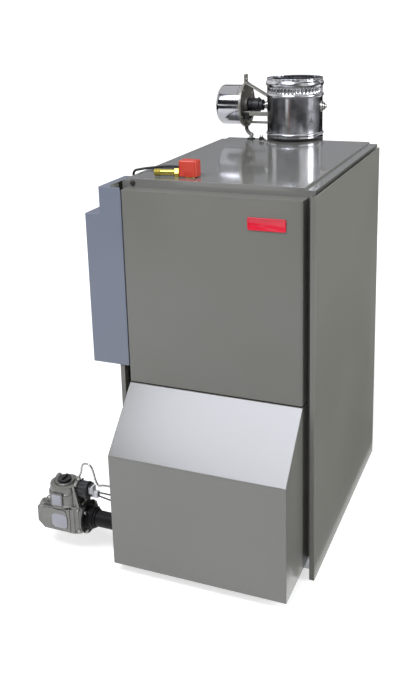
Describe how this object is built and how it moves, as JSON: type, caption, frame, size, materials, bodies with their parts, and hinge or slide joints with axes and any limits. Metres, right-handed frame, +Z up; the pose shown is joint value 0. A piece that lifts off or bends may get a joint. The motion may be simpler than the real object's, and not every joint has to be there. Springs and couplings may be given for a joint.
{
  "type": "floor-standing boiler",
  "caption": "Floor-standing gas hot-water boiler: grey sheet-steel cabinet, slanted lower access panel, side control box, gas valve, red relief cap and motorised vent damper.",
  "frame": {"origin": "centre of the cabinet's footprint, on the floor", "axes": "+Z up, -Y out of the front face with the door, +X to the right of someone who faces the front; the vent pipe stands behind the cabinet at +Y and the control box and gas valve are at -X"},
  "size_m": [0.562, 0.7545, 0.905],
  "materials": {
    "jacket_enamel": "semi-gloss baked enamel, warm grey",
    "lid_enamel": "glossy baked enamel, grey",
    "box_enamel": "satin enamel, blue-grey",
    "badge_red": "gloss red, blank",
    "galvanised_steel": "bright galvanised sheet",
    "zinc_steel": "zinc plated",
    "bright_can": "bright pressed aluminium",
    "cast_iron_grey": "raw grey casting",
    "valve_alloy": "matt die-cast alloy",
    "black_pipe": "black steel pipe",
    "brass_fittings": "machined brass",
    "cap_red": "orange red",
    "black_plastic": "black moulded plastic",
    "white_plastic": "white moulded plastic",
    "lead_rubber": "black sheath",
    "fibre_board": "pressed mineral fibre board",
    "dial_face": "white printed face, blank"
  },
  "bodies": {
    "cabinet": {"base_pan": "galvanised_steel", "side_panel_left": "jacket_enamel", "side_panel_right": "jacket_enamel", "rear_panel": "jacket_enamel", "top_panel": "lid_enamel", "front_frame": "jacket_enamel", "vestibule_panel": "galvanised_steel", "insulation_boards": "fibre_board", "control_box_back": "box_enamel", "relay_module": "black_plastic", "transformer": "cast_iron_grey", "cable_glands": "black_plastic", "section_left": "cast_iron_grey", "section_middle": "cast_iron_grey", "section_right": "cast_iron_grey", "push_nipples": "zinc_steel", "tie_rods": "zinc_steel", "flue_collector": "galvanised_steel", "combustion_base": "galvanised_steel", "burners": "zinc_steel", "manifold_pipe": "black_pipe", "orifices": "brass_fittings", "pilot_burner": "zinc_steel", "rollout_switch": "black_plastic", "gas_valve_body": "valve_alloy", "gas_valve_head": "valve_alloy", "gas_regulator": "black_plastic", "valve_connector": "white_plastic", "manifold_union": "black_pipe", "pilot_tube": "bright_can", "ignition_lead": "lead_rubber", "thermocouple_lead": "lead_rubber", "relief_riser": "black_pipe", "relief_valve_body": "brass_fittings", "relief_outlet": "brass_fittings", "lid_lead": "lead_rubber", "lid_grommets": "lead_rubber", "gauge_body": "dial_face", "supply_nipple": "black_pipe", "return_nipple": "black_pipe", "drain_valve_body": "brass_fittings", "draft_hood": "galvanised_steel", "vent_barrel": "galvanised_steel", "motor_can": "bright_can", "motor_plate": "galvanised_steel", "motor_arms": "zinc_steel", "damper_cable": "lead_rubber", "spill_switch": "black_plastic", "jacket_screws": "zinc_steel"},
    "upper_door_body": {"upper_door": "jacket_enamel", "name_badge": "badge_red"},
    "access_panel_body": {"lower_panel": "jacket_enamel"},
    "box_cover_body": {"control_box_cover": "box_enamel"},
    "damper_body": {"damper_blade": "galvanised_steel", "damper_shaft": "zinc_steel"},
    "gas_knob_body": {"gas_valve_knob": "black_plastic"},
    "relief_cap_body": {"relief_cap": "cap_red"},
    "limit_dial_body": {"limit_dial": "white_plastic"},
    "needle_body": {"gauge_needle": "black_plastic"},
    "handwheel_body": {"drain_handle": "cap_red"}
  },
  "joints": [
    {"name": "upper_door_lift_off", "type": "slide", "parent": "cabinet", "child": "upper_door_body", "axis": [0, -1, 0], "range_m": [0, 0.12]},
    {"name": "access_panel_pull_off", "type": "slide", "parent": "cabinet", "child": "access_panel_body", "axis": [0, -1, 0], "range_m": [0, 0.15]},
    {"name": "box_cover_pull_off", "type": "slide", "parent": "cabinet", "child": "box_cover_body", "axis": [-1, 0, 0], "range_m": [0, 0.12]},
    {"name": "damper_turn", "type": "hinge", "parent": "cabinet", "child": "damper_body", "pos_m": [-0.012, 0.307, 0.833], "axis": [1, 0, 0], "range_deg": [0, 90]},
    {"name": "gas_knob_turn", "type": "hinge", "parent": "cabinet", "child": "gas_knob_body", "pos_m": [-0.305, -0.324, 0.15], "axis": [0, 0, 1], "range_deg": [0, 90]},
    {"name": "relief_cap_turn", "type": "hinge", "parent": "cabinet", "child": "relief_cap_body", "pos_m": [-0.066, -0.192, 0.77], "axis": [0, 0, 1], "range_deg": [0, 30]},
    {"name": "limit_dial_turn", "type": "hinge", "parent": "cabinet", "child": "limit_dial_body", "pos_m": [-0.225, -0.2205, 0.586], "axis": [0, -1, 0], "range_deg": [0, 270]},
    {"name": "gauge_needle_turn", "type": "hinge", "parent": "cabinet", "child": "needle_body", "pos_m": [0.09, -0.181, 0.58], "axis": [0, -1, 0], "range_deg": [-120, 120]},
    {"name": "drain_handwheel_turn", "type": "hinge", "parent": "cabinet", "child": "handwheel_body", "pos_m": [-0.09, 0.27, 0.29], "axis": [0, 0, 1], "range_deg": [0, 720]}
  ]
}
